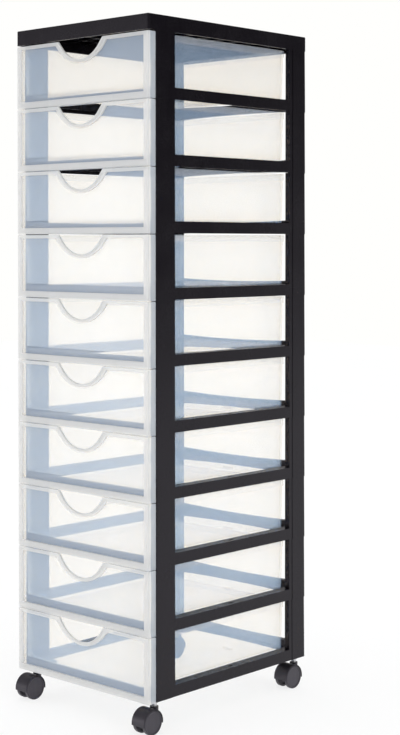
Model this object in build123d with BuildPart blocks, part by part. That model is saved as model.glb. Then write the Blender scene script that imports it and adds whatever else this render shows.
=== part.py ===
"""Ten-drawer plastic tower on four twin-wheel casters.

Millimetres. +Z is up, the drawers open towards -Y and +X is to the right of someone facing them.
The origin is on the floor, under the middle of the tower's bounding box.
"""

import os
from math import cos, radians, sin, tan

from build123d import *

# --- Tower ----------------------------------------------------------------------------------
tower_width = 290.0
tower_depth = 360.0          # from the drawer fronts to the back of the frame
tier_count = 10
tier_pitch = 97.8            # stacking height of one tier

# --- Tier frame: a ring of rails with four posts, moulded in one piece -----------------------
skirt_gap = 0.5              # between the drawers' skirts and the frame's front
frame_wall = 2.5
frame_corner_radius = 3.0
frame_draft = 0.45           # degrees, each side
rail_height = 17.4           # top of the side rails, which the drawers run on
ledge_bearing = 6.0          # how far the running ledge reaches in past a tub's top edge
rail_lip_bottom = 5.0        # the inner lip of a rail stops this far above the seam
rail_slot_length = 10.0      # drain slot in the middle of each ledge
rail_slot_width = 4.5
post_depth = 10.0            # how far a post reaches in from the side face
front_post_width = 41.3
rear_post_width = 39.5
rear_leg_width = 20.0        # the rear post's leg across the back
side_recess_depth = 0.6      # rail and window border lie this far inside the posts' faces
side_recess_border = 7.3     # border of the window that lies in the recess
front_bar_drop = 2.9         # top of the front bar below the ledges
front_bar_flange = 8.0
back_bar_depth = 10.0
back_bar_top = 23.0
back_bar_top_dip = 3.0       # the top edge hangs this much lower in the middle
back_bar_bottom = 2.0
back_bar_bottom_rise = 2.5
spigot_height = 9.0          # stubs on the posts that enter the ring above
spigot_length = 24.0
spigot_draft = 3.0
spigot_inset = 11.0          # from the post's outer end to the stub
spigot_margin = 1.5          # from the post's inner edge to the stub
spigot_clearance = 0.4

# --- Corner gussets of the bottom tier, which hold the caster sockets ------------------------
gusset_size = 44.0
gusset_thickness = 3.0
gusset_corner_cut = 22.0
gusset_rib_thickness = 2.5
gusset_rib_height = 9.0
gusset_boss_wall = 2.65

# --- Top panel ------------------------------------------------------------------------------
panel_height = 23.0
panel_wall = 2.5
panel_corner_radius = 3.0
panel_top_radius = 1.5
panel_rib_lift = 6.5         # between the stubs and the ribs above them
panel_rib_thickness = 1.8
panel_rib_count_x = 7        # ribs that run along Y, spaced over the width
panel_rib_count_y = 9        # ribs that run along X, spaced over the depth

# --- Drawer: front and tub, moulded in one piece ---------------------------------------------
front_gap = 1.0              # between one drawer front and the next
front_drop = 0.9             # the front hangs this far below its seam
front_skirt_depth = 14.5     # the front wraps this far round the sides
front_corner_radius = 2.5
front_edge_radius = 1.2
drawer_wall = 2.2
rim_side = 10.0              # raised border of the front
rim_top = 5.4
rim_bottom = 9.8
panel_recess = 4.0           # the clear panel behind the border
tub_side_gap = 0.8           # between a tub's top band and the posts
tub_back_gap = 28.0          # between the tub and the back bar
tub_draft = 1.2              # degrees, sides and back
tub_corner_radius = 8.0
tub_floor_radius = 2.4
tub_band_height = 10.0       # thickened band along the tub's top edge
tub_band_proud = 1.2
running_clearance = 0.3      # between tub and ledge
stop_lug_inset = 58.0        # from the back of the tub to the front of the lugs
stop_lug_width = 16.0
stop_lug_length = 6.0
stop_lug_engagement = 1.6    # how far a lug reaches below the top of the front bar
stop_lug_offset = 60.0       # of each lug from the middle

# --- Finger scoop in the top edge of each drawer front ---------------------------------------
scoop_depth = 29.6
scoop_radius = 52.0
scoop_flare = 50.0           # degrees, of the straight sides that run up to the top edge
scoop_lip = 3.0              # raised lip along the scoop's edge
scoop_lip_proud = 1.0        # of the ring round it
ring_depth = 34.9            # lowest point of the ring's outer edge
ring_radius = 66.0
scoop_edge = 3.0             # thickness of the front at the scoop, which is hollow behind

# --- Casters --------------------------------------------------------------------------------
caster_inset_side = 15.0     # stem to the tower's side face
caster_inset_end = 11.0      # stem to the frame's front or back
caster_trail = 14.0          # axle ahead of the stem
wheel_radius = 18.0
wheel_width = 6.2
wheel_gap = 0.4              # between a wheel and the web beside it
wheel_face_recess = 0.9
wheel_cap = 1.2              # closed face over the axle's end
axle_end_gap = 0.2
wheel_rim_width = 3.2
wheel_hub_radius = 4.5
wheel_back_recess = 3.0
wheel_tread_radius = 1.0
hood_clearance = 0.7
hood_wall = 1.4
hood_side_cover = 0.3        # the hood stands this far proud of the wheels' outer faces
hood_edge_radius = 0.9
hood_lower_drop = 3.0        # the hood ends this far below the axle
web_wall = 2.2               # plastic beside the stem, in the web between the wheels
boss_wall = 2.4              # plastic round the stem, above the hood
axle_boss_radius = 5.0
axle_radius = 2.0
wheel_bore_clearance = 0.05
stem_radius = 4.0
stem_depth = 16.0            # length of stem inside the housing
stem_neck = 5.0              # bare stem between housing and collar
stem_clearance = 0.05        # running fit in the socket
stem_top_gap = 1.0
stem_top_chamfer = 1.0
collar_proud = 1.6           # of the stem
collar_height = 3.0
collar_gap = 0.3             # below the socket's flange
socket_wall = 2.25
socket_seat_clearance = 0.05
socket_flange_proud = 2.2    # of the sleeve
socket_flange_thickness = 1.6
socket_wall_top = 2.5        # closed end above the stem

# --- Worked out from the sizes above ---------------------------------------------------------
half_width = tower_width / 2
frame_setback = front_skirt_depth + skirt_gap
web_width = 2 * (stem_radius + web_wall)
hood_radius = wheel_radius + hood_clearance + hood_wall
boss_height = wheel_radius + hood_radius
caster_height = boss_height + stem_neck + collar_height + collar_gap + socket_flange_thickness
caster_reach = caster_trail + hood_radius - caster_inset_end - frame_setback
front_y = -(tower_depth - caster_reach) / 2      # plane of the drawer fronts
back_y = front_y + tower_depth
frame_front_y = front_y + frame_setback
frame_depth = tower_depth - frame_setback
frame_mid_y = (frame_front_y + back_y) / 2
frame_shift = tier_pitch * tan(radians(frame_draft))   # how far draft moves a face in, bottom to top
core_x = half_width - frame_shift - frame_wall / 2     # inside every wall, at any height
core_front_y = frame_front_y + frame_shift + frame_wall / 2
core_back_y = back_y - frame_shift - frame_wall / 2
window_front_y = frame_front_y + front_post_width
window_back_y = back_y - rear_post_width
frame_top_z = caster_height + tier_count * tier_pitch
front_bar_height = rail_height - front_bar_drop
front_height = tier_pitch - front_gap
front_top = front_height - front_drop            # above the seam
tub_inset = post_depth + tub_side_gap + tub_band_proud
tub_half = half_width - tub_inset
rail_width = tub_inset + ledge_bearing
tub_bottom = rail_height + running_clearance     # above the seam
tub_back_y = back_y - back_bar_depth - tub_back_gap
tub_shift = (front_top - tub_bottom) * tan(radians(tub_draft))
lug_front_y = tub_back_y - stop_lug_inset
drawer_travel = lug_front_y - frame_front_y - front_bar_flange
spigot_width = post_depth - frame_wall - spigot_margin - spigot_clearance
panel_rib_depth = panel_height - panel_wall - spigot_height - panel_rib_lift
stem_x = half_width - caster_inset_side
front_stem_y = frame_front_y + caster_inset_end
rear_stem_y = back_y - caster_inset_end
socket_length = rail_height - frame_wall
socket_radius = stem_radius + stem_clearance + socket_wall
socket_boss_radius = socket_radius + socket_seat_clearance + gusset_boss_wall


def seam(tier):
    """Height of the underside of a tier, where tier 1 is the top one."""
    return caster_height + (tier_count - tier) * tier_pitch


def slab(x0, x1, y0, y1, z0, z1):
    """A straight-sided web or wall between two corners, added to the part in hand."""
    with BuildSketch(Plane.XY.offset(z0)) as outline:
        with Locations(((x0 + x1) / 2, (y0 + y1) / 2)):
            Rectangle(abs(x1 - x0), abs(y1 - y0))
    extrude(outline.sketch, amount=z1 - z0)


def frame_shell(z):
    """The drafted four-sided wall that rails and posts are cut from."""
    for inset, mode in ((0, Mode.ADD), (frame_wall, Mode.SUBTRACT)):
        with BuildSketch(Plane.XY.offset(z)) as outline:
            with Locations((0, frame_mid_y)):
                Rectangle(tower_width - 2 * inset, frame_depth - 2 * inset)
            fillet(outline.vertices(), frame_corner_radius - inset)
        extrude(outline.sketch, amount=tier_pitch, taper=frame_draft, mode=mode)


def frame_openings(z):
    """Side windows, the open front and the open back."""
    top = z + tier_pitch
    with BuildSketch(Plane.YZ) as window:
        with Locations(((window_front_y + window_back_y) / 2, (z + rail_height + top) / 2)):
            Rectangle(window_back_y - window_front_y, top - z - rail_height)
    extrude(window.sketch, amount=tower_width, both=True, mode=Mode.SUBTRACT)
    with BuildSketch(Plane.XZ.offset(-frame_front_y)) as mouth:
        with Locations((0, (z + front_bar_height + top) / 2)):
            Rectangle(tower_width - 2 * post_depth, top - z - front_bar_height)
    extrude(mouth.sketch, amount=-frame_depth / 2, mode=Mode.SUBTRACT)
    with BuildSketch(Plane.XZ.offset(-back_y)) as back:
        with Locations((0, (z + top) / 2)):
            Rectangle(tower_width - 2 * rear_leg_width, top - z)
    extrude(back.sketch, amount=frame_depth / 2, mode=Mode.SUBTRACT)


def frame_side_recess(z):
    """Sinks the rails and the windows' borders slightly behind the posts' outer faces."""
    length = window_back_y - window_front_y + 2 * side_recess_border
    for side in (1, -1):
        face = Plane(
            origin=(side * (half_width - side_recess_depth), (window_front_y + window_back_y) / 2, z),
            x_dir=(0, side, 0),
            z_dir=(side, 0, tan(radians(frame_draft))),
        )
        with BuildSketch(face) as recess:
            Rectangle(length, 3 * tier_pitch)
        extrude(recess.sketch, amount=2 * side_recess_depth, mode=Mode.SUBTRACT)


def frame_rails(z):
    """Side rails: an inverted channel whose top is the ledge that a drawer runs on."""
    for side in (1, -1):
        inner = side * (half_width - rail_width)
        slab(inner, side * core_x, core_front_y, core_back_y, z + rail_height - frame_wall, z + rail_height)
        slab(inner, inner + side * frame_wall, core_front_y, core_back_y,
             z + rail_lip_bottom, z + rail_height)
    with BuildSketch(Plane.XY.offset(z + rail_height)) as slots:
        with Locations(*[(side * (half_width - rail_width / 2), frame_mid_y) for side in (1, -1)]):
            SlotOverall(rail_slot_length, rail_slot_width, rotation=90)
    extrude(slots.sketch, amount=-2 * frame_wall, mode=Mode.SUBTRACT)


def frame_front_bar(z):
    """Flange along the top of the front bar, which also stops the drawer's lugs."""
    slab(-core_x, core_x, core_front_y, frame_front_y + front_bar_flange,
         z + front_bar_height - frame_wall, z + front_bar_height)


def back_bar_face(z, inset):
    """Outline of the arched bar across the back, with its top and bottom edges curved."""
    side_x = half_width - rear_leg_width + frame_wall - inset
    low, high = z + back_bar_bottom + inset, z + back_bar_top - inset
    with BuildSketch(Plane.XZ.offset(inset - back_y)) as face:
        with BuildLine():
            ThreePointArc((-side_x, high), (0, high - back_bar_top_dip), (side_x, high))
            Line((side_x, high), (side_x, low))
            ThreePointArc((side_x, low), (0, low + back_bar_bottom_rise), (-side_x, low))
            Line((-side_x, low), (-side_x, high))
        make_face()
    return face.sketch


def frame_back_bar(z):
    """The arched back bar, a channel open towards the drawers."""
    extrude(back_bar_face(z, 0), amount=back_bar_depth)
    extrude(back_bar_face(z, frame_wall), amount=back_bar_depth, mode=Mode.SUBTRACT)


def frame_post_returns(z):
    """Edges of the posts, turned inwards, with a closing web at the top."""
    low, high = z + rail_height - frame_wall, z + tier_pitch
    for side in (1, -1):
        inner = side * (half_width - post_depth)
        slab(inner, side * core_x, window_front_y - frame_wall, window_front_y, low, high)
        slab(inner, side * core_x, window_back_y, window_back_y + frame_wall, low, high)
        leg = side * (half_width - rear_leg_width)
        slab(leg, leg + side * frame_wall, back_y - back_bar_depth, core_back_y, low, high)
        slab(inner, side * core_x, core_front_y, window_front_y - frame_wall / 2, high - frame_wall, high)
        slab(inner, side * core_x, window_back_y + frame_wall / 2, core_back_y, high - frame_wall, high)


def frame_spigots(z):
    """Tapered stubs on the post tops that locate the tier or the panel above."""
    offset_x = half_width - frame_wall - spigot_clearance - spigot_width / 2
    first_y = frame_front_y + spigot_inset + spigot_length / 2
    last_y = back_y - spigot_inset - spigot_length / 2
    with BuildSketch(Plane.XY.offset(z + tier_pitch)) as stubs:
        with Locations(*[(side * offset_x, y) for side in (1, -1) for y in (first_y, last_y)]):
            Rectangle(spigot_width, spigot_length)
    extrude(stubs.sketch, amount=spigot_height, taper=spigot_draft)


def frame_gussets(z):
    """Corner plates of the bottom tier, with the bosses that hold the caster sockets."""
    for side in (1, -1):
        for stem_y, edge_y, inward in ((front_stem_y, core_front_y, 1), (rear_stem_y, core_back_y, -1)):
            outer_x, inner_x = side * core_x, side * (core_x - gusset_size)
            far_y = edge_y + inward * gusset_size
            with BuildSketch(Plane.XY.offset(z)) as plate:
                with BuildLine():
                    Polyline(
                        (outer_x, edge_y),
                        (outer_x, far_y),
                        (outer_x - side * gusset_corner_cut, far_y),
                        (inner_x, edge_y + inward * (gusset_size - gusset_corner_cut)),
                        (inner_x, edge_y),
                        close=True,
                    )
                make_face()
            extrude(plate.sketch, amount=gusset_thickness)
            half_rib = gusset_rib_thickness / 2
            slab(side * stem_x - half_rib, side * stem_x + half_rib, stem_y, far_y, z, z + gusset_rib_height)
            slab(inner_x, side * stem_x, stem_y - half_rib, stem_y + half_rib, z, z + gusset_rib_height)
            with BuildSketch(Plane.XY.offset(z)) as boss:
                with Locations((side * stem_x, stem_y)):
                    Circle(socket_boss_radius)
            extrude(boss.sketch, amount=rail_height)
            with BuildSketch(Plane.XY.offset(z)) as bore:
                with Locations((side * stem_x, stem_y)):
                    Circle(socket_radius + socket_seat_clearance)
            extrude(bore.sketch, amount=socket_length + socket_seat_clearance, mode=Mode.SUBTRACT)


def tier_frame(tier):
    """One stackable tier of the black frame."""
    z = seam(tier)
    with BuildPart() as frame:
        frame_shell(z)
        frame_openings(z)
        frame_side_recess(z)
        frame_rails(z)
        frame_front_bar(z)
        frame_back_bar(z)
        frame_post_returns(z)
        frame_spigots(z)
        if tier == tier_count:
            frame_gussets(z)
    return frame.part


def top_panel():
    """The lid: a shallow tray turned upside down, with a grid of ribs under it."""
    mid_y = (front_y + back_y) / 2
    inner_width, inner_depth = tower_width - 2 * panel_wall, tower_depth - 2 * panel_wall
    under_z = frame_top_z + panel_height - panel_wall
    with BuildPart() as panel:
        with BuildSketch(Plane.XY.offset(frame_top_z)) as outline:
            with Locations((0, mid_y)):
                Rectangle(tower_width, tower_depth)
            fillet(outline.vertices(), panel_corner_radius)
        extrude(amount=panel_height)
        fillet(panel.edges().group_by(Axis.Z)[-1], panel_top_radius)
        with BuildSketch(Plane.XY.offset(frame_top_z)):
            with Locations((0, mid_y)):
                Rectangle(inner_width, inner_depth)
        extrude(amount=panel_height - panel_wall, mode=Mode.SUBTRACT)
        with BuildSketch(Plane.XY.offset(under_z - panel_rib_depth)):
            with Locations((0, mid_y)):
                with GridLocations(inner_width / (panel_rib_count_x + 1), 0, panel_rib_count_x, 1):
                    Rectangle(panel_rib_thickness, inner_depth + panel_wall)
                with GridLocations(0, inner_depth / (panel_rib_count_y + 1), 1, panel_rib_count_y):
                    Rectangle(inner_width + panel_wall, panel_rib_thickness)
        extrude(amount=panel_rib_depth)
    return panel.part


def scoop_profile(z, depth, radius, plane_y):
    """A round-bottomed outline with flared sides, open at the drawer's top edge, drawn at a given Y."""
    flare = radians(scoop_flare)
    side_x, side_z = radius * sin(flare), z + front_top - depth + radius * (1 - cos(flare))
    over_z = z + front_top + front_gap
    over_x = side_x + (over_z - side_z) / tan(flare)
    with BuildSketch(Plane.XZ.offset(-plane_y)) as scoop:
        with BuildLine():
            Line((-over_x, over_z), (-side_x, side_z))
            ThreePointArc((-side_x, side_z), (0, z + front_top - depth), (side_x, side_z))
            Line((side_x, side_z), (over_x, over_z))
            Line((over_x, over_z), (-over_x, over_z))
        make_face()
    return scoop


def drawer_front(board, z):
    """The front: a border, skirts that wrap round the sides, and a panel set back in it."""
    low, high = z - front_drop, z + front_top
    panel_low, panel_high = low + rim_bottom, high - rim_top
    panel_back_y = panel_recess + drawer_wall
    with BuildSketch(Plane.XY.offset(low)) as outline:
        with Locations((0, front_y + front_skirt_depth / 2)):
            Rectangle(tower_width, front_skirt_depth)
        fillet(outline.vertices().group_by(Axis.Y)[0], front_corner_radius)
    extrude(outline.sketch, amount=front_height)
    levels = board.edges().group_by(Axis.Z)
    fillet((levels[0] + levels[-1]).sort_by(Axis.Y)[:-2], front_edge_radius)
    # The recess for the panel, with the scoop's ring left standing, and a shallower one round the lip.
    window_height = panel_high - panel_low
    lip = scoop_profile(z, scoop_depth + scoop_lip, scoop_radius + scoop_lip, front_y).sketch_local
    for standing, depth in ((scoop_profile(z, ring_depth, ring_radius, front_y).sketch_local, panel_recess),
                            (lip, scoop_lip_proud)):
        with BuildSketch(Plane.XZ.offset(-front_y)) as recess:
            with Locations((0, (panel_low + panel_high) / 2)):
                Rectangle(tower_width - 2 * rim_side, window_height)
            add(standing, mode=Mode.SUBTRACT)
        extrude(recess.sketch, amount=-depth, mode=Mode.SUBTRACT)
    # The open back: all of it as far as the panel, and then the hollow behind the border's sides and foot.
    with BuildSketch(Plane.XZ.offset(-front_y - panel_back_y)) as open_back:
        with Locations((0, (low + drawer_wall + high) / 2)):
            Rectangle(tower_width - 2 * drawer_wall, high - low - drawer_wall)
    extrude(open_back.sketch, amount=-front_skirt_depth, mode=Mode.SUBTRACT)
    with BuildSketch(Plane.XZ.offset(-front_y - drawer_wall)) as border:
        with Locations((0, (low + panel_high) / 2 + drawer_wall)):
            Rectangle(tower_width - 2 * drawer_wall, panel_high - low)
        with Locations((0, (panel_low + panel_high) / 2)):
            Rectangle(tower_width - 2 * rim_side + 2 * drawer_wall,
                      window_height + 2 * drawer_wall, mode=Mode.SUBTRACT)
    extrude(border.sketch, amount=-(panel_back_y - drawer_wall), mode=Mode.SUBTRACT)


def tub_level(z, inset, narrowing, corner):
    """Outline of the tub at one height: square at the front, rounded at the back."""
    near_y, far_y = front_y + panel_recess + inset, tub_back_y - inset - narrowing
    with BuildSketch(Plane.XY.offset(z)) as outline:
        with Locations((0, (near_y + far_y) / 2)):
            Rectangle(2 * (tub_half - inset - narrowing), far_y - near_y)
        fillet(outline.vertices().group_by(Axis.Y)[-1], corner)
    return outline.sketch


def tub_block(z, inset):
    """The tub as a solid block with drafted sides and back: its outside, or the hollow in it."""
    corner = tub_corner_radius - inset
    with BuildPart() as block:
        loft([tub_level(z + tub_bottom + inset, inset, tub_shift, corner).face(),
              tub_level(z + front_top, inset, 0, corner).face()], ruled=True)
        if inset == 0:
            fillet(block.edges().group_by(Axis.Z)[0].sort_by(Axis.Y)[1:], tub_floor_radius)
    return block.part


def tub_band(z):
    """Thickened band round the tub's top edge."""
    near_y, far_y = front_y + panel_recess + drawer_wall, tub_back_y + tub_band_proud
    with BuildSketch(Plane.XY.offset(z + front_top - tub_band_height)) as band:
        with Locations((0, (near_y + far_y) / 2)):
            Rectangle(2 * (tub_half + tub_band_proud), far_y - near_y)
        fillet(band.vertices().group_by(Axis.Y)[-1], tub_corner_radius + tub_band_proud)
    extrude(band.sketch, amount=tub_band_height)


def stop_lugs(z):
    """Lugs under the floor that meet the front bar when the drawer is pulled out."""
    lug_bottom = z + front_bar_height - stop_lug_engagement
    for side in (1, -1):
        middle = side * stop_lug_offset
        slab(middle - stop_lug_width / 2, middle + stop_lug_width / 2,
             lug_front_y, lug_front_y + stop_lug_length, lug_bottom, z + tub_bottom + drawer_wall / 2)


def drawer(tier):
    """One clear drawer."""
    z = seam(tier)
    with BuildPart() as clear_drawer:
        drawer_front(clear_drawer, z)
        add(tub_block(z, 0))
        tub_band(z)
        add(tub_block(z, drawer_wall), mode=Mode.SUBTRACT)
        stop_lugs(z)
        hollow = scoop_profile(z, ring_depth - drawer_wall, ring_radius - drawer_wall, front_y + scoop_edge)
        extrude(hollow.sketch, amount=-(panel_recess + drawer_wall), mode=Mode.SUBTRACT)
        scoop = scoop_profile(z, scoop_depth, scoop_radius, front_y)
        extrude(scoop.sketch, amount=-(panel_recess + 2 * drawer_wall), mode=Mode.SUBTRACT)
    return clear_drawer.part


def caster_socket(x, stem_y):
    """Sleeve pressed into the gusset's boss, with a flange under the frame."""
    with BuildPart() as socket:
        with BuildSketch(Plane.XY.offset(caster_height - socket_flange_thickness)):
            with Locations((x, stem_y)):
                Circle(socket_radius + socket_flange_proud)
        extrude(amount=socket_flange_thickness)
        with BuildSketch(Plane.XY.offset(caster_height)):
            with Locations((x, stem_y)):
                Circle(socket_radius)
        extrude(amount=socket_length)
        with BuildSketch(Plane.XY.offset(caster_height - socket_flange_thickness)):
            with Locations((x, stem_y)):
                Circle(stem_radius + stem_clearance)
        extrude(amount=socket_flange_thickness + socket_length - socket_wall_top, mode=Mode.SUBTRACT)
    return socket.part


def caster_stem(x, stem_y):
    """Steel stem with the collar that carries the tower's weight."""
    stem_top = caster_height + socket_length - socket_wall_top - stem_top_gap
    collar_top = caster_height - socket_flange_thickness - collar_gap
    with BuildPart() as stem:
        with BuildSketch(Plane.XY.offset(boss_height - stem_depth)):
            with Locations((x, stem_y)):
                Circle(stem_radius)
        extrude(amount=stem_top - boss_height + stem_depth)
        chamfer(stem.edges().group_by(Axis.Z)[-1], stem_top_chamfer)
        with BuildSketch(Plane.XY.offset(collar_top - collar_height)):
            with Locations((x, stem_y)):
                Circle(stem_radius + collar_proud)
        extrude(amount=collar_height)
    return stem.part


def caster_housing(x, stem_y):
    """Web between the wheels, the hood over them and the boss for the stem."""
    axle_y = stem_y - caster_trail
    half_hood = web_width / 2 + wheel_gap + wheel_width + hood_side_cover
    below = hood_radius - hood_lower_drop
    with BuildPart() as housing:
        with BuildSketch(Plane.YZ.offset(x - half_hood)):
            with Locations((axle_y, wheel_radius)):
                Circle(hood_radius)
            with Locations((axle_y, wheel_radius - hood_lower_drop - below / 2)):
                Rectangle(2 * hood_radius, below, mode=Mode.SUBTRACT)
        extrude(amount=2 * half_hood)
        arcs = housing.edges().filter_by(GeomType.CIRCLE).group_by(Axis.X)
        fillet(arcs[0] + arcs[-1], hood_edge_radius)
        with BuildSketch(Plane.XY.offset(wheel_radius)):
            with Locations((x, stem_y)):
                Circle(stem_radius + boss_wall)
        extrude(amount=boss_height - wheel_radius)
        for side in (1, -1):
            with BuildSketch(Plane.YZ.offset(x + side * web_width / 2)):
                with Locations((axle_y, wheel_radius)):
                    Circle(wheel_radius + hood_clearance)
            extrude(amount=side * half_hood, mode=Mode.SUBTRACT)
        with BuildSketch(Plane.YZ.offset(x - web_width / 2)):
            with Locations((axle_y, wheel_radius)):
                Circle(axle_boss_radius)
        extrude(amount=web_width)
        with BuildSketch(Plane.YZ.offset(x - web_width)):
            with Locations((axle_y, wheel_radius)):
                Circle(axle_radius)
        extrude(amount=2 * web_width, mode=Mode.SUBTRACT)
        with BuildSketch(Plane.XY.offset(boss_height - stem_depth)):
            with Locations((x, stem_y)):
                Circle(stem_radius)
        extrude(amount=stem_depth, mode=Mode.SUBTRACT)
    return housing.part


def caster_axle(x, stem_y):
    """Steel pin through the web, which both wheels turn on."""
    length = web_width + 2 * (wheel_gap + wheel_width - wheel_face_recess - wheel_cap - axle_end_gap)
    with BuildPart() as axle:
        with BuildSketch(Plane.YZ.offset(x - length / 2)):
            with Locations((stem_y - caster_trail, wheel_radius)):
                Circle(axle_radius)
        extrude(amount=length)
    return axle.part


def caster_wheel(x, stem_y, side):
    """A wheel turned from its section: crowned tread, dished face, blind bore and hollow back."""
    axle_y = stem_y - caster_trail
    near = web_width / 2 + wheel_gap
    far = near + wheel_width
    rim_inner = wheel_radius - wheel_rim_width
    bore = axle_radius + wheel_bore_clearance
    face = far - wheel_face_recess
    section = [
        (near, bore), (near, wheel_hub_radius), (near + wheel_back_recess, wheel_hub_radius),
        (near + wheel_back_recess, rim_inner), (near, rim_inner), (near, wheel_radius),
        (far, wheel_radius), (far, rim_inner + wheel_face_recess), (face, rim_inner), (face, 0),
        (face - wheel_cap, 0), (face - wheel_cap, bore),
    ]
    with BuildPart() as wheel:
        with BuildSketch(Plane.XZ.offset(-axle_y)) as profile:
            with BuildLine():
                Polyline(*[(x + side * across, wheel_radius + up) for across, up in section], close=True)
            make_face()
            fillet(profile.vertices().group_by(Axis.Y)[-1], wheel_tread_radius)
        revolve(axis=Axis((x, axle_y, wheel_radius), (1, 0, 0)))
    return wheel.part


def save(piece, name):
    """Labels a finished piece and writes it under the same name."""
    piece.label = name
    export_step(piece, f"parts/{name}.step")


def main():
    """Builds every piece of the tower in its place."""
    os.makedirs("parts", exist_ok=True)
    save(top_panel(), "top_panel")
    for tier in range(1, tier_count + 1):
        save(tier_frame(tier), f"tier_frame_{tier:02d}")
        save(drawer(tier), f"drawer_{tier:02d}")
    for row, stem_y in (("front", front_stem_y), ("rear", rear_stem_y)):
        for hand, x in (("left", -stem_x), ("right", stem_x)):
            caster = f"caster_{row}_{hand}"
            save(caster_socket(x, stem_y), f"{caster}_socket")
            save(caster_stem(x, stem_y), f"{caster}_stem")
            save(caster_housing(x, stem_y), f"{caster}_housing")
            save(caster_axle(x, stem_y), f"{caster}_axle")
            save(caster_wheel(x, stem_y, -1), f"{caster}_left_wheel")
            save(caster_wheel(x, stem_y, 1), f"{caster}_right_wheel")
    print(f"A drawer slides {drawer_travel:.1f} mm out before its lugs meet the front bar.")


main()
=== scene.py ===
"""Looks, light and camera for the ten-drawer plastic tower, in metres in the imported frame."""

import logging
import math
from dataclasses import dataclass
from enum import Enum
from typing import Union

import bpy
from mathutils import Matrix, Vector

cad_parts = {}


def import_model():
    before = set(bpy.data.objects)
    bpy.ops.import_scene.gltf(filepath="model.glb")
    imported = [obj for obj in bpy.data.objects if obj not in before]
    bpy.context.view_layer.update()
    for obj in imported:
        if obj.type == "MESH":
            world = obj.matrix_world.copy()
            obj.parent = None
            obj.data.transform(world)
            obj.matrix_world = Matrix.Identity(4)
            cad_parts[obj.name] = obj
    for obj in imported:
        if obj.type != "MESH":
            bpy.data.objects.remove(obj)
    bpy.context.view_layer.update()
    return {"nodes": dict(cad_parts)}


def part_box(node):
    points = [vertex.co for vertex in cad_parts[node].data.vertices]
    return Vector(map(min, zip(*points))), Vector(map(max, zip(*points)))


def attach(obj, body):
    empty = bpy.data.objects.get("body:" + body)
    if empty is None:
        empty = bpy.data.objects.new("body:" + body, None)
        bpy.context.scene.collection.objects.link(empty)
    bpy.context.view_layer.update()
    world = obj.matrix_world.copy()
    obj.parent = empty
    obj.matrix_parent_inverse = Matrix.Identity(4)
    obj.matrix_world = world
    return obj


Colour = tuple[float, float, float, float]
Point = tuple[float, float, float]
Span = tuple[float, float]
Socket = bpy.types.NodeSocket
Given = Union[bpy.types.NodeSocket, bpy.types.Material, float, tuple[float, ...]]

WHITE: Colour = (1.0, 1.0, 1.0, 1.0)
ALL_LIGHT: Point = (1.0, 1.0, 1.0)
NOISE_REACH: Span = (0.3, 0.7)  # a noise pattern seldom leaves this range
NOISE_ROUGHNESS = 0.55  # how strong a pattern's finer octaves are
CLEAR_LAYERS = 48  # see-through surfaces that one ray may pass
SOFT_BOUNCES = 10  # scatterings that one ray may go through

log = logging.getLogger("tower")


class Row(Enum):
    """The two rows of casters."""

    FRONT = "front"
    REAR = "rear"


class Side(Enum):
    """The two hands of the tower, seen from the drawer fronts."""

    LEFT = "left"
    RIGHT = "right"


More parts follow.
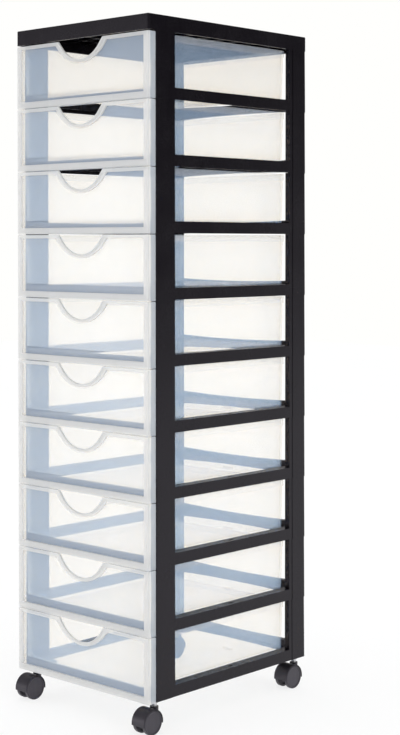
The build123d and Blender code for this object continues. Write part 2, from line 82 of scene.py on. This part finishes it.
class NodeBoard:
    """Adds nodes to one tree and joins them by name."""

    def __init__(self, tree: bpy.types.NodeTree) -> None:
        """Starts on a tree.

        Args:
            tree: The node tree to build in.
        """
        self.tree = tree

    def add(
        self, kind: str, settings: dict[str, object] | None = None, **inputs: Given
    ) -> bpy.types.Node:
        """Adds a node, sets its options, and sets or links its inputs.

        Args:
            kind: Blender's name for the node type.
            settings: Options of the node itself.
            inputs: Values or output sockets by the input's name, with _ for a space.

        Returns:
            The new node.
        """
        node = self.tree.nodes.new(kind)
        for name, value in (settings or {}).items():
            setattr(node, name, value)
        for name, value in inputs.items():
            self.put(node.inputs[name.replace("_", " ")], value)
        return node

    def put(self, socket: Socket, value: Given) -> None:
        """Links a socket to another socket, or sets its own value.

        Args:
            socket: The input.
            value: An output socket, or a plain value.
        """
        if isinstance(value, bpy.types.NodeSocket):
            self.tree.links.new(value, socket)
        else:
            socket.default_value = value

    def put_in_order(self, node: bpy.types.Node, values: tuple[Given, ...]) -> None:
        """Sets or links a node's first inputs in order.

        Args:
            node: The node.
            values: Values or output sockets.
        """
        for socket, value in zip(node.inputs, values):
            self.put(socket, value)

    def maths(self, operation: str, *values: Given) -> Socket:
        """Adds a Math node.

        Args:
            operation: Blender's name for the operation.
            values: Numbers or sockets, in the node's order.

        Returns:
            The node's output.
        """
        node = self.add("ShaderNodeMath", {"operation": operation})
        self.put_in_order(node, values)
        return node.outputs["Value"]

    def vector_maths(self, operation: str, *values: Given) -> bpy.types.Node:
        """Adds a Vector Math node.

        Args:
            operation: Blender's name for the operation.
            values: Vectors or sockets, in the node's order.

        Returns:
            The node.
        """
        node = self.add("ShaderNodeVectorMath", {"operation": operation})
        self.put_in_order(node, values)
        return node

    def noise(self, where: Socket, scale: float, detail: float = 3.0) -> Socket:
        """Adds a noise pattern.

        Args:
            where: The coordinates that it reads.
            scale: Repeats to a metre.
            detail: Octaves.

        Returns:
            Its value, about 0.5 on average.
        """
        node = self.add(
            "ShaderNodeTexNoise",
            Vector=where,
            Scale=scale,
            Detail=detail,
            Roughness=NOISE_ROUGHNESS,
        )
        return node.outputs["Fac"]

    def remap(
        self, value: Socket, reach: Span, low: float, high: float, kind: str = "LINEAR"
    ) -> Socket:
        """Maps a range onto two values.

        Args:
            value: The number to map.
            reach: The range that is mapped.
            low: Result at the start of the range.
            high: Result at its end.
            kind: Blender's name for the interpolation.

        Returns:
            The mapped value.
        """
        node = self.add(
            "ShaderNodeMapRange", {"interpolation_type": kind},
            Value=value, From_Min=reach[0], From_Max=reach[1], To_Min=low, To_Max=high,
        )
        return node.outputs["Result"]

    def spread(self, pattern: Socket, low: float, high: float) -> Socket:
        """Maps the middle of a noise pattern's range onto two values.

        Args:
            pattern: The pattern.
            low: Result where the pattern is weak.
            high: Result where it is strong.

        Returns:
            The mapped value.
        """
        return self.remap(pattern, NOISE_REACH, low, high)

    def blend(self, share: Socket, first: Given, second: Given) -> Socket:
        """Mixes two colours.

        Args:
            share: How much of the second colour.
            first: A colour, or a socket.
            second: A colour, or a socket.

        Returns:
            The mixed colour.
        """
        node = self.add("ShaderNodeMix", {"data_type": "RGBA"})
        self.put(node.inputs["Factor"], share)
        self.put(node.inputs["A"], first)
        self.put(node.inputs["B"], second)
        return node.outputs["Result"]

    def mix(self, share: Given, first: bpy.types.Node, second: bpy.types.Node) -> bpy.types.Node:
        """Mixes two shaders.

        Args:
            share: How much of the second shader.
            first: A shader node.
            second: A shader node.

        Returns:
            The mix node.
        """
        node = self.add("ShaderNodeMixShader", Fac=share)
        self.put(node.inputs[1], first.outputs[0])
        self.put(node.inputs[2], second.outputs[0])
        return node


def stretched(board: NodeBoard, scale: Point = (1.0, 1.0, 1.0)) -> Socket:
    """Object coordinates, stretched so that a pattern runs along an axis.

    Args:
        board: The tree to build in.
        scale: Factor along each axis.

    Returns:
        The coordinates.
    """
    spot = board.add("ShaderNodeTexCoord")
    mapping = board.add("ShaderNodeMapping", Vector=spot.outputs["Object"], Scale=scale)
    return mapping.outputs["Vector"]


def fresh_material(name: str) -> tuple[bpy.types.Material, NodeBoard, bpy.types.Node]:
    """Makes an empty node material.

    Args:
        name: The material's name.

    Returns:
        The material, a board on its tree, and its output node.
    """
    material = bpy.data.materials.new(name)
    material.use_nodes = True
    material.node_tree.nodes.clear()
    board = NodeBoard(material.node_tree)
    return material, board, board.add("ShaderNodeOutputMaterial")


def swept_bead(plastic: bpy.types.Material, sides: int = 12) -> bpy.types.NodeTree:
    """Builds the geometry tree that sweeps a round bead along a path of edges.

    Args:
        plastic: The bead's finish.
        sides: Corners of the bead's section.

    Returns:
        The tree, with inputs for the bead's radius and the spacing of its sections.
    """
    tree = bpy.data.node_groups.new("swept_bead", "GeometryNodeTree")
    face = tree.interface
    face.new_socket("Geometry", in_out="INPUT", socket_type="NodeSocketGeometry")
    face.new_socket("Bead radius", in_out="INPUT", socket_type="NodeSocketFloat")
    face.new_socket("Spacing", in_out="INPUT", socket_type="NodeSocketFloat")
    face.new_socket("Geometry", in_out="OUTPUT", socket_type="NodeSocketGeometry")
    board = NodeBoard(tree)
    given = board.add("NodeGroupInput")
    path = board.add("GeometryNodeMeshToCurve", Mesh=given.outputs["Geometry"])
    even = board.add(
        "GeometryNodeResampleCurve", {"mode": "LENGTH"},
        Curve=path.outputs["Curve"], Length=given.outputs["Spacing"],
    )
    ring = board.add(
        "GeometryNodeCurvePrimitiveCircle", Resolution=sides, Radius=given.outputs["Bead radius"]
    )
    swept = board.add(
        "GeometryNodeCurveToMesh",
        Curve=even.outputs["Curve"], Profile_Curve=ring.outputs["Curve"], Fill_Caps=True,
    )
    smooth = board.add("GeometryNodeSetShadeSmooth", Geometry=swept.outputs["Mesh"])
    real = board.add("GeometryNodeRealizeInstances", Geometry=smooth.outputs["Geometry"])
    dressed = board.add(
        "GeometryNodeSetMaterial", Geometry=real.outputs["Geometry"], Material=plastic
    )
    board.add("NodeGroupOutput", Geometry=dressed.outputs["Geometry"])
    return tree


def grown_piece(
    name: str, points: list[Point], tree: bpy.types.NodeTree, sizes: dict[str, float]
) -> bpy.types.Object:
    """Runs a geometry tree on a path and keeps the result as a plain mesh.

    Args:
        name: The piece's name.
        points: The path, in order.
        tree: The geometry tree.
        sizes: Its inputs by name.

    Returns:
        The piece, at the origin.
    """
    line = bpy.data.meshes.new(f"{name}_path")
    line.from_pydata(points, [(place, place + 1) for place in range(len(points) - 1)], [])
    carrier = bpy.data.objects.new(f"{name}_path", line)
    bpy.context.scene.collection.objects.link(carrier)
    modifier = carrier.modifiers.new("grown", "NODES")
    modifier.node_group = tree
    for socket in tree.interface.items_tree:
        if socket.name in sizes:
            modifier[socket.identifier] = sizes[socket.name]
    view = bpy.context.evaluated_depsgraph_get()
    mesh = bpy.data.meshes.new_from_object(carrier.evaluated_get(view))
    mesh.name = name
    carrier.modifiers.remove(modifier)
    bpy.data.objects.remove(carrier)
    piece = bpy.data.objects.new(name, mesh)
    bpy.context.scene.collection.objects.link(piece)
    return piece


def cover(piece: bpy.types.Object, material: bpy.types.Material) -> None:
    """Puts one material in every slot of a piece.

    Args:
        piece: The piece.
        material: Its finish.
    """
    if not piece.material_slots:
        piece.data.materials.append(material)
    for place in piece.material_slots:
        place.material = material


@dataclass(frozen=True)
class MouldedPlastic:
    """Solid-coloured moulded plastic: fine grain, faint flow streaks and slight dulling.

    Attributes:
        name: The material's name.
        deep: Colour in the hollows of the pattern.
        raised: Colour on its high spots.
        rough_low: Roughness of the most polished patches.
        rough_high: Roughness of the dullest patches.
        grain: Grain, in repeats to a metre.
        grain_depth: Height of the grain in metres.
        gloss: Specular level.
        tint: Colour of the gloss.
        patches: Dull patches, in repeats to a metre.
        streaks: Flow streaks, in repeats to a metre.
        streak_run: How the streaks are stretched along each axis.
        grain_rough: How far the grain moves the roughness either way.
    """

    name: str
    deep: Colour
    raised: Colour
    rough_low: float
    rough_high: float
    grain: float
    grain_depth: float
    gloss: float
    tint: Colour = (0.95, 0.89, 1.0, 1.0)
    patches: float = 14.0
    streaks: float = 40.0
    streak_run: Point = (3.0, 3.0, 0.25)
    grain_rough: float = 0.03

    def material(self) -> bpy.types.Material:
        """Builds the material.

        Returns:
            The material.
        """
        material, board, output = fresh_material(self.name)
        spot = stretched(board)
        patches = board.noise(spot, self.patches, detail=4.0)
        streaks = board.noise(stretched(board, self.streak_run), self.streaks, detail=4.0)
        grain = board.noise(spot, self.grain, detail=2.0)
        colour = board.blend(board.spread(streaks, 0.0, 1.0), self.deep, self.raised)
        rough = board.spread(patches, self.rough_low, self.rough_high)
        rough = board.maths("ADD", rough, board.spread(grain, -self.grain_rough, self.grain_rough))
        bump = board.add("ShaderNodeBump", Strength=1.0, Distance=self.grain_depth, Height=grain)
        shader = board.add(
            "ShaderNodeBsdfPrincipled",
            Base_Color=colour,
            Roughness=rough,
            Specular_IOR_Level=self.gloss,
            Specular_Tint=self.tint,
            Normal=bump.outputs["Normal"],
        )
        board.put(output.inputs["Surface"], shader.outputs["BSDF"])
        return material


@dataclass(frozen=True)
class ClearPlastic:
    """Hazy see-through plastic that scatters what it doesn't let through, blue most of all; where
    it is thin it scatters more than that, which is painted light.

    Attributes:
        name: The material's name.
        tub: What one surface of a tub lets through.
        front: The same for the panel of a drawer's front.
        skirt: The same for the skirts at its sides.
        rim: The same for the raised border.
        ring: The same for the ring round a finger scoop.
        lip: The same for the tub's thick top edge.
        foot: The same for the tub's lower edge.
        front_y: Plane of the drawer fronts.
        base_z: Lower edge of the lowest drawer.
        pitch: Height from one drawer to the next.
        rough: Roughness of the gloss.
        front_depth: Depth of the front's skirts.
        proud: The front's raised border stands out this far.
        band: The tub's thick top edge starts this far above the drawer's lower edge.
        sole: Height of the tub's floor above the drawer's lower edge.
        sole_side: The tub's floor meets its sides this far from the middle.
        skirt_side: The skirts stand this far from the middle.
        ring_side: A scoop's ring ends this far from the middle.
        clouds: Faint clouds in the plastic, in repeats to a metre.
        cloud_share: What the densest cloud lets through.
        milk_and_painted_light: Scattered share of the light that thin plastic holds back; above
            one, the surplus is painted light that brightens the haze.
        milk_fall: How much smaller that share is where nothing gets through.
        ripple: Ripples of the surface, in repeats to a metre.
        ripple_run: How the ripples are stretched along each axis.
        ripple_depth: Height of the ripples.
        ripple_share: How strongly they tilt the surface.
        mirror: Mirrored share, seen square on.
        edge_mirror: How much more is mirrored, seen edge on.
        edge_power: How close to edge on that is.
    """

    name: str
    tub: Colour
    front: Colour
    skirt: Colour
    rim: Colour
    ring: Colour
    lip: Colour
    foot: Colour
    front_y: float
    base_z: float
    pitch: float
    rough: float
    front_depth: float = 0.0146
    proud: float = 0.0038
    band: float = 0.0868
    sole: float = 0.0211
    sole_side: float = 0.129
    skirt_side: float = 0.1420
    ring_side: float = 0.070
    clouds: float = 9.0
    cloud_share: float = 0.97
    # above one: thin plastic scatters painted light on top of its real haze
    milk_and_painted_light: float = 1.185
    milk_fall: float = 0.41
    ripple: float = 60.0
    ripple_run: Point = (1.0, 1.0, 0.5)
    ripple_depth: float = 0.0001
    ripple_share: float = 0.3
    mirror: float = 0.022
    edge_mirror: float = 0.22
    edge_power: float = 5.0

    def clearness(self, board: NodeBoard, spot: Socket) -> Socket:
        """Picks what a surface lets through from where it is on the drawer.

        Args:
            board: The tree to build in.
            spot: Object coordinates.

        Returns:
            The colour that gets through.
        """
        axes = board.add("ShaderNodeSeparateXYZ", Vector=spot)
        across = board.maths("ABSOLUTE", axes.outputs["X"])
        depth = axes.outputs["Y"]
        height = board.maths("SUBTRACT", axes.outputs["Z"], self.base_z)
        height = board.maths("FLOORED_MODULO", height, self.pitch)
        in_front = board.maths("LESS_THAN", depth, self.front_y + self.front_depth)
        on_border = board.maths("LESS_THAN", depth, self.front_y + self.proud)
        on_band = board.maths("GREATER_THAN", height, self.band)
        low_down = board.maths("LESS_THAN", height, self.sole)
        by_side = board.maths("GREATER_THAN", across, self.sole_side)
        far_out = board.maths("GREATER_THAN", across, self.skirt_side)
        on_foot = board.maths("MULTIPLY", low_down, by_side)
        on_lip = board.maths("MULTIPLY", on_band, board.maths("SUBTRACT", 1.0, in_front))
        on_skirt = board.maths("MULTIPLY", in_front, far_out)
        colour = board.blend(on_foot, self.tub, self.foot)
        colour = board.blend(on_lip, colour, self.lip)
        colour = board.blend(in_front, colour, self.front)
        colour = board.blend(on_skirt, colour, self.skirt)
        by_scoop = board.maths("LESS_THAN", across, self.ring_side)
        return board.blend(on_border, colour, board.blend(by_scoop, self.rim, self.ring))

    def scattered(self, board: NodeBoard, clear: Socket) -> Socket:
        """Works out what a surface scatters from what it lets through.

        Args:
            board: The tree to build in.
            clear: The colour that gets through.

        Returns:
            The colour that is scattered.
        """
        held = board.vector_maths("SUBTRACT", ALL_LIGHT, clear).outputs["Vector"]
        fall = (-self.milk_fall,) * 3
        thin = (self.milk_and_painted_light,) * 3
        # thin plastic gets a share above one and scatters more than it holds back: painted light
        # that brightens the haze
        share = board.vector_maths("MULTIPLY_ADD", held, fall, thin).outputs["Vector"]
        return board.vector_maths("MULTIPLY", held, share).outputs["Vector"]

    def material(self) -> bpy.types.Material:
        """Builds the material.

        Returns:
            The material.
        """
        material, board, output = fresh_material(self.name)
        spot = stretched(board)
        clouds = board.spread(board.noise(spot, self.clouds), self.cloud_share, 1.0)
        clear = board.vector_maths("SCALE", self.clearness(board, spot))
        board.put(clear.inputs["Scale"], clouds)
        clear = clear.outputs["Vector"]
        # the scattered colour, with painted light in it where the plastic is thin
        milk_and_painted_light = self.scattered(board, clear)
        ripple = board.noise(stretched(board, self.ripple_run), self.ripple, detail=2.0)
        bump = board.add(
            "ShaderNodeBump",
            Strength=self.ripple_share,
            Distance=self.ripple_depth,
            Height=ripple,
        )
        normal = bump.outputs["Normal"]
        lit = board.add("ShaderNodeBsdfDiffuse", Color=milk_and_painted_light, Normal=normal)
        glow = board.add("ShaderNodeBsdfTranslucent", Color=milk_and_painted_light, Normal=normal)
        through = board.add("ShaderNodeBsdfTransparent", Color=clear)
        wall = board.add("ShaderNodeAddShader")
        board.put(wall.inputs[0], through.outputs["BSDF"])
        board.put(wall.inputs[1], board.mix(0.5, lit, glow).outputs["Shader"])
        facing = board.add("ShaderNodeLayerWeight", Blend=0.5, Normal=normal)
        edge = board.maths("POWER", facing.outputs["Facing"], self.edge_power)
        share = board.maths("MULTIPLY_ADD", edge, self.edge_mirror, self.mirror)
        gloss = board.add(
            "ShaderNodeBsdfGlossy", Color=WHITE, Roughness=self.rough, Normal=normal
        )
        board.put(output.inputs["Surface"], board.mix(share, wall, gloss).outputs["Shader"])
        return material


@dataclass(frozen=True)
class PlatedSteel:
    """Bright plated steel with fine turning marks round the part.

    Attributes:
        name: The material's name.
        bright: Colour of the clean metal.
        dull: Colour of its dull patches.
        rough: Roughness of the clean metal.
        rough_marks: How much the turning marks add to it.
        marks: Turning marks, in repeats to a metre.
        mark_run: How the marks are stretched along each axis.
        mark_depth: Height of the marks.
        mark_share: How strongly they tilt the surface.
        stains: Dull patches, in repeats to a metre.
    """

    name: str
    bright: Colour
    dull: Colour
    rough: float
    rough_marks: float = 0.12
    marks: float = 4000.0
    mark_run: Point = (0.05, 0.05, 1.0)
    mark_depth: float = 0.00005
    mark_share: float = 0.4
    stains: float = 300.0

    def material(self) -> bpy.types.Material:
        """Builds the material.

        Returns:
            The material.
        """
        material, board, output = fresh_material(self.name)
        marks = board.noise(stretched(board, self.mark_run), self.marks, detail=2.0)
        stains = board.noise(stretched(board), self.stains)
        colour = board.blend(board.spread(stains, 0.0, 1.0), self.bright, self.dull)
        rough = board.spread(marks, self.rough, self.rough + self.rough_marks)
        bump = board.add(
            "ShaderNodeBump",
            Strength=self.mark_share,
            Distance=self.mark_depth,
            Height=marks,
        )
        shader = board.add(
            "ShaderNodeBsdfPrincipled",
            Base_Color=colour,
            Metallic=1.0,
            Roughness=rough,
            Normal=bump.outputs["Normal"],
        )
        board.put(output.inputs["Surface"], shader.outputs["BSDF"])
        return material


@dataclass(frozen=True)
class PaleFloor:
    """A white studio floor that shows as white and still takes a soft shadow.

    Attributes:
        shade: How much of the lit surface shows, which is how strong the shadow is.
        darker: Colour of the darker patches.
        paler: Colour of the paler ones.
        patches: Those patches, in repeats to a metre.
    """

    shade: float = 0.22
    darker: Colour = (0.90, 0.90, 0.89, 1.0)
    paler: Colour = (0.92, 0.92, 0.92, 1.0)
    patches: float = 3.0

    def material(self) -> bpy.types.Material:
        """Builds the material.

        Returns:
            The material.
        """
        material, board, output = fresh_material("studio_floor")
        path = board.add("ShaderNodeLightPath")
        seen = board.maths(
            "MAXIMUM", path.outputs["Is Camera Ray"], path.outputs["Is Glossy Ray"]
        )
        seen = board.maths("MAXIMUM", seen, path.outputs["Is Transmission Ray"])
        patches = board.noise(stretched(board), self.patches, detail=2.0)
        colour = board.blend(board.spread(patches, 0.0, 1.0), self.darker, self.paler)
        matt = board.add("ShaderNodeBsdfDiffuse", Color=colour)
        white = board.add("ShaderNodeEmission", Color=WHITE, Strength=1.0)
        share = board.maths("MULTIPLY", seen, 1.0 - self.shade)
        board.put(output.inputs["Surface"], board.mix(share, matt, white).outputs["Shader"])
        return material


@dataclass
class Cabinet:
    """The black frame: the top panel and the ten tier frames.

    Attributes:
        tiers: How many tier frames there are.
    """

    tiers: int = 10

    def dress(self, nodes: dict[str, bpy.types.Object]) -> None:
        """Gives the frame's pieces their finish.

        Args:
            nodes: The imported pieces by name.
        """
        plastic = MouldedPlastic(
            "black_moulded_plastic",
            deep=(0.0020, 0.0013, 0.0028, 1.0),
            raised=(0.0032, 0.0023, 0.0042, 1.0),
            rough_low=0.20,
            rough_high=0.30,
            grain=1800.0,
            grain_depth=0.00002,
            gloss=0.32,
        ).material()
        names = ["top_panel"] + [f"tier_frame_{tier:02d}" for tier in range(1, self.tiers + 1)]
        for name in names:
            cover(nodes[name], plastic)
            log.info("%s: black moulded plastic", name)


@dataclass
class DrawerStack:
    """The ten clear drawers, with a rounded bead on the lip of each finger scoop.

    Attributes:
        count: How many drawers there are.
        scoop_depth: Depth of a scoop below the drawer's top edge.
        scoop_radius: Radius of its round bottom.
        flare: Slope of its straight sides, in degrees.
        arc_steps: Steps of the bead's path along the round bottom.
        bead_radius: Radius of the bead.
        bead_inset: From the scoop's edge to the bead's middle line.
        bead_back: From the plane of the fronts back to the bead's middle line.
        bead_spacing: Distance between the bead's sections.
        top_gap: The bead's ends stop this far below the drawer's top edge.
    """

    count: int = 10
    scoop_depth: float = 0.0296
    scoop_radius: float = 0.052
    flare: float = 50.0
    arc_steps: int = 24
    bead_radius: float = 0.0011
    bead_inset: float = 0.0012
    bead_back: float = 0.0006
    bead_spacing: float = 0.0015
    top_gap: float = 0.0012

    def scoop_path(self, top: float, plane: float) -> list[Point]:
        """Works out the bead's middle line.

        Args:
            top: Height of the drawer's top edge.
            plane: Y of the bead.

        Returns:
            Points from the left end to the right end.
        """
        flare = math.radians(self.flare)
        radius = self.scoop_radius + self.bead_inset
        centre = top - self.scoop_depth + self.scoop_radius
        turns = [flare * (2 * step / self.arc_steps - 1) for step in range(self.arc_steps + 1)]
        bottom = [
            (radius * math.sin(turn), plane, centre - radius * math.cos(turn)) for turn in turns
        ]
        side_x, side_z = bottom[-1][0], bottom[-1][2]
        end_z = top - self.top_gap
        end_x = side_x + (end_z - side_z) / math.tan(flare)
        return [(-end_x, plane, end_z)] + bottom + [(end_x, plane, end_z)]

    def beads(self, plastic: bpy.types.Material) -> None:
        """Sweeps the bead of each scoop and lets it ride on its drawer.

        Args:
            plastic: The drawers' finish.
        """
        tree = swept_bead(plastic)
        sizes = {"Bead radius": self.bead_radius, "Spacing": self.bead_spacing}
        for number in range(1, self.count + 1):
            low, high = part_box(f"drawer_{number:02d}")
            points = self.scoop_path(high.z, low.y + self.bead_back)
            bead = grown_piece(f"scoop_bead_{number:02d}", points, tree, sizes)
            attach(bead, f"drawer_{number:02d}")
            log.info("scoop_bead_%02d: %d faces", number, len(bead.data.polygons))

    def dress(self, nodes: dict[str, bpy.types.Object]) -> None:
        """Gives the drawers their finish, and the scoops their beads.

        Args:
            nodes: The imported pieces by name.
        """
        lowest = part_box(f"drawer_{self.count:02d}")[0]
        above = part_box(f"drawer_{self.count - 1:02d}")[0]
        plastic = ClearPlastic(
            "clear_hazy_plastic",
            tub=(0.905, 0.862, 0.792, 1.0),
            front=(0.800, 0.748, 0.655, 1.0),
            skirt=(0.700, 0.665, 0.610, 1.0),
            rim=(0.250, 0.243, 0.232, 1.0),
            ring=(0.210, 0.204, 0.196, 1.0),
            lip=(0.830, 0.805, 0.760, 1.0),
            foot=(0.897, 0.854, 0.784, 1.0),
            front_y=lowest.y,
            base_z=lowest.z,
            pitch=above.z - lowest.z,
            rough=0.12,
        ).material()
        for number in range(1, self.count + 1):
            cover(nodes[f"drawer_{number:02d}"], plastic)
            log.info("drawer_%02d: clear hazy plastic", number)
        self.beads(plastic)


@dataclass(frozen=True)
class Casters:
    """The four twin-wheel casters and their sockets.

    Attributes:
        shell: Finish of the housings.
        tread: Finish of the wheels.
        sleeve: Finish of the sockets.
        steel: Finish of the stems and axles.
    """

    shell: MouldedPlastic = MouldedPlastic(
        "caster_shell_plastic",
        deep=(0.016, 0.015, 0.019, 1.0),
        raised=(0.024, 0.022, 0.027, 1.0),
        rough_low=0.30,
        rough_high=0.42,
        grain=2500.0,
        grain_depth=0.00003,
        gloss=0.5,
    )
    tread: MouldedPlastic = MouldedPlastic(
        "caster_wheel_plastic",
        deep=(0.034, 0.032, 0.039, 1.0),
        raised=(0.048, 0.045, 0.054, 1.0),
        rough_low=0.34,
        rough_high=0.46,
        grain=3000.0,
        grain_depth=0.00002,
        gloss=0.5,
    )
    sleeve: MouldedPlastic = MouldedPlastic(
        "caster_socket_plastic",
        deep=(0.020, 0.019, 0.022, 1.0),
        raised=(0.028, 0.027, 0.031, 1.0),
        rough_low=0.40,
        rough_high=0.50,
        grain=2500.0,
        grain_depth=0.00002,
        gloss=0.4,
    )
    steel: PlatedSteel = PlatedSteel(
        "plated_steel", bright=(0.62, 0.62, 0.64, 1.0), dull=(0.45, 0.45, 0.47, 1.0), rough=0.22
    )

    def dress(self, nodes: dict[str, bpy.types.Object]) -> None:
        """Gives the casters' pieces their finishes.

        Args:
            nodes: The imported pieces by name.
        """
        shell, tread = self.shell.material(), self.tread.material()
        sleeve, steel = self.sleeve.material(), self.steel.material()
        finishes = {
            "housing": shell,
            "left_wheel": tread,
            "right_wheel": tread,
            "socket": sleeve,
            "stem": steel,
            "axle": steel,
        }
        for row in Row:
            for side in Side:
                caster = f"caster_{row.value}_{side.value}"
                for part, finish in finishes.items():
                    cover(nodes[f"{caster}_{part}"], finish)
                log.info("%s: shell, wheels, socket and steel", caster)


@dataclass(frozen=True)
class Lamp:
    """A soft square lamp that faces the tower and isn't seen itself.

    Attributes:
        name: The lamp's name.
        place: Where it hangs.
        size: Its side.
        watts: Its power.
        aim: The point that it faces.
    """

    name: str
    place: Point
    size: float
    watts: float
    aim: Point = (0.0, 0.0, 0.55)

    def hang(self) -> None:
        """Adds the lamp to the scene."""
        data = bpy.data.lights.new(self.name, "AREA")
        data.shape = "SQUARE"
        data.size = self.size
        data.energy = self.watts
        lamp = bpy.data.objects.new(self.name, data)
        lamp.visible_camera = False
        lamp.location = self.place
        ray = Vector(self.aim) - Vector(self.place)
        lamp.rotation_euler = ray.to_track_quat("-Z", "Y").to_euler()
        bpy.context.scene.collection.objects.link(lamp)
        log.info("%s: %.1f W", self.name, self.watts)


@dataclass(frozen=True)
class Room:
    """The surroundings: white to the eye, even in light, and partly dim in the gloss.

    Attributes:
        level: Strength of the even light from all round.
        light: Colour of that light.
        white: Colour of the background as the camera sees it.
        gloss: Colour of the room as gloss shows it.
        dim_towards: Direction of the middle of the room's dim part, in degrees from +X.
        dim_rise: How far above the horizon it is, in degrees.
        dim_edge: Cosines of the angles from it between which the room fades.
        bright: Strength of the room outside the dim part.
        dim: Strength inside it.
        upper_edge: Slopes between which the room fades towards the ceiling.
        ceiling: What is left of its strength above them.
    """

    level: float = 1.12
    light: Colour = (0.98, 0.99, 1.0, 1.0)
    white: Colour = (1.0, 1.0, 0.985, 1.0)
    gloss: Colour = (1.0, 0.98, 1.0, 1.0)
    dim_towards: float = -4.0
    dim_rise: float = 15.0
    dim_edge: Span = (0.42, 0.60)
    bright: float = 1.15
    dim: float = 0.16
    upper_edge: Span = (0.02, 0.13)
    ceiling: float = 0.3

    def strength(self, board: NodeBoard) -> Socket:
        """Works out how bright the room is in the gloss, by direction.

        Args:
            board: The tree to build in.

        Returns:
            The strength.
        """
        look = board.add("ShaderNodeTexCoord").outputs["Generated"]
        turn, rise = math.radians(self.dim_towards), math.radians(self.dim_rise)
        flat = math.cos(rise)
        middle = (math.cos(turn) * flat, math.sin(turn) * flat, math.sin(rise))
        near = board.vector_maths("DOT_PRODUCT", look, middle).outputs["Value"]
        fade = board.remap(near, self.dim_edge, self.bright, self.dim, "SMOOTHSTEP")
        height = board.add("ShaderNodeSeparateXYZ", Vector=look).outputs["Z"]
        overhead = board.remap(height, self.upper_edge, 1.0, self.ceiling)
        return board.maths("MULTIPLY", fade, overhead)

    def build(self) -> None:
        """Makes the world."""
        world = bpy.data.worlds.new("studio_sky")
        world.use_nodes = True
        world.node_tree.nodes.clear()
        board = NodeBoard(world.node_tree)
        path = board.add("ShaderNodeLightPath")
        seen = board.maths(
            "MAXIMUM", path.outputs["Is Camera Ray"], path.outputs["Is Transmission Ray"]
        )
        even = board.add("ShaderNodeBackground", Color=self.light, Strength=self.level)
        white = board.add("ShaderNodeBackground", Color=self.white, Strength=1.0)
        room = board.add("ShaderNodeBackground", Color=self.gloss, Strength=self.strength(board))
        plain = board.mix(seen, even, white)
        mixed = board.mix(path.outputs["Is Glossy Ray"], plain, room)
        output = board.add("ShaderNodeOutputWorld")
        board.put(output.inputs["Surface"], mixed.outputs["Shader"])
        bpy.context.scene.world = world


@dataclass
class Studio:
    """Floor, room, lamps and camera.

    Attributes:
        eye: The camera's place.
        yaw: How far the camera is turned to the left of +Y, in degrees.
        dip: How far it looks down, in degrees.
        focal_px: Focal length in pixels of the photograph.
        axis_px: Height of the optical axis above the photograph's middle, in pixels.
        frame_px: Size of the photograph in pixels.
        sight: How far the camera sees.
        floor_size: Side of the floor.
        lamps: A key at the front left, one low in front, and fills at the right and behind.
    """

    eye: Point = (1.6916, -1.7359, 0.7170)
    yaw: float = 42.82
    dip: float = 1.383
    focal_px: float = 1524.0
    axis_px: float = 86.85
    frame_px: Span = (400.0, 735.0)
    sight: float = 100.0
    floor_size: float = 14.0
    lamps: tuple[Lamp, ...] = (
        Lamp("key_lamp", (-1.6, -2.8, 0.5), 1.8, 10.0),
        Lamp("low_lamp", (-0.5, -1.15, 0.12), 0.7, 1.5),
        Lamp("fill_lamp", (3.0, -0.4, 1.2), 1.8, 8.0),
        Lamp("back_lamp", (-0.8, 3.0, 1.8), 2.0, 10.0),
    )

    def build(self) -> None:
        """Builds the whole studio."""
        self.floor()
        Room().build()
        for lamp in self.lamps:
            lamp.hang()
        self.camera()

    def floor(self) -> None:
        """Lays the floor just under the wheels."""
        half = self.floor_size / 2
        mesh = bpy.data.meshes.new("studio_floor")
        corners = [(-half, -half, 0.0), (half, -half, 0.0), (half, half, 0.0), (-half, half, 0.0)]
        mesh.from_pydata(corners, [], [(0, 1, 2, 3)])
        floor = bpy.data.objects.new("studio_floor", mesh)
        bpy.context.scene.collection.objects.link(floor)
        mesh.materials.append(PaleFloor().material())
        log.info("floor: %.0f m square", self.floor_size)

    def camera(self) -> None:
        """Stands the camera where the photograph was taken from."""
        wide, high = self.frame_px
        data = bpy.data.cameras.new("photo_camera")
        data.lens = self.focal_px / high * data.sensor_width
        data.shift_y = -self.axis_px / high
        data.clip_end = self.sight
        camera = bpy.data.objects.new("photo_camera", data)
        camera.location = self.eye
        camera.rotation_euler = (math.radians(90.0 - self.dip), 0.0, math.radians(self.yaw))
        bpy.context.scene.collection.objects.link(camera)
        bpy.context.scene.camera = camera
        log.info("camera: %.1f mm lens for a %.0f x %.0f frame", data.lens, wide, high)


def main() -> None:
    """Loads the solids, dresses them and sets up the studio."""
    logging.basicConfig(level=logging.INFO, format="%(name)s: %(message)s")
    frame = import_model()
    scene = bpy.context.scene
    scene.view_settings.view_transform = "Standard"
    scene.cycles.transparent_max_bounces = CLEAR_LAYERS
    scene.cycles.diffuse_bounces = SOFT_BOUNCES
    nodes = frame["nodes"]
    Cabinet().dress(nodes)
    DrawerStack().dress(nodes)
    Casters().dress(nodes)
    Studio().build()


if __name__ == "__main__":
    main()
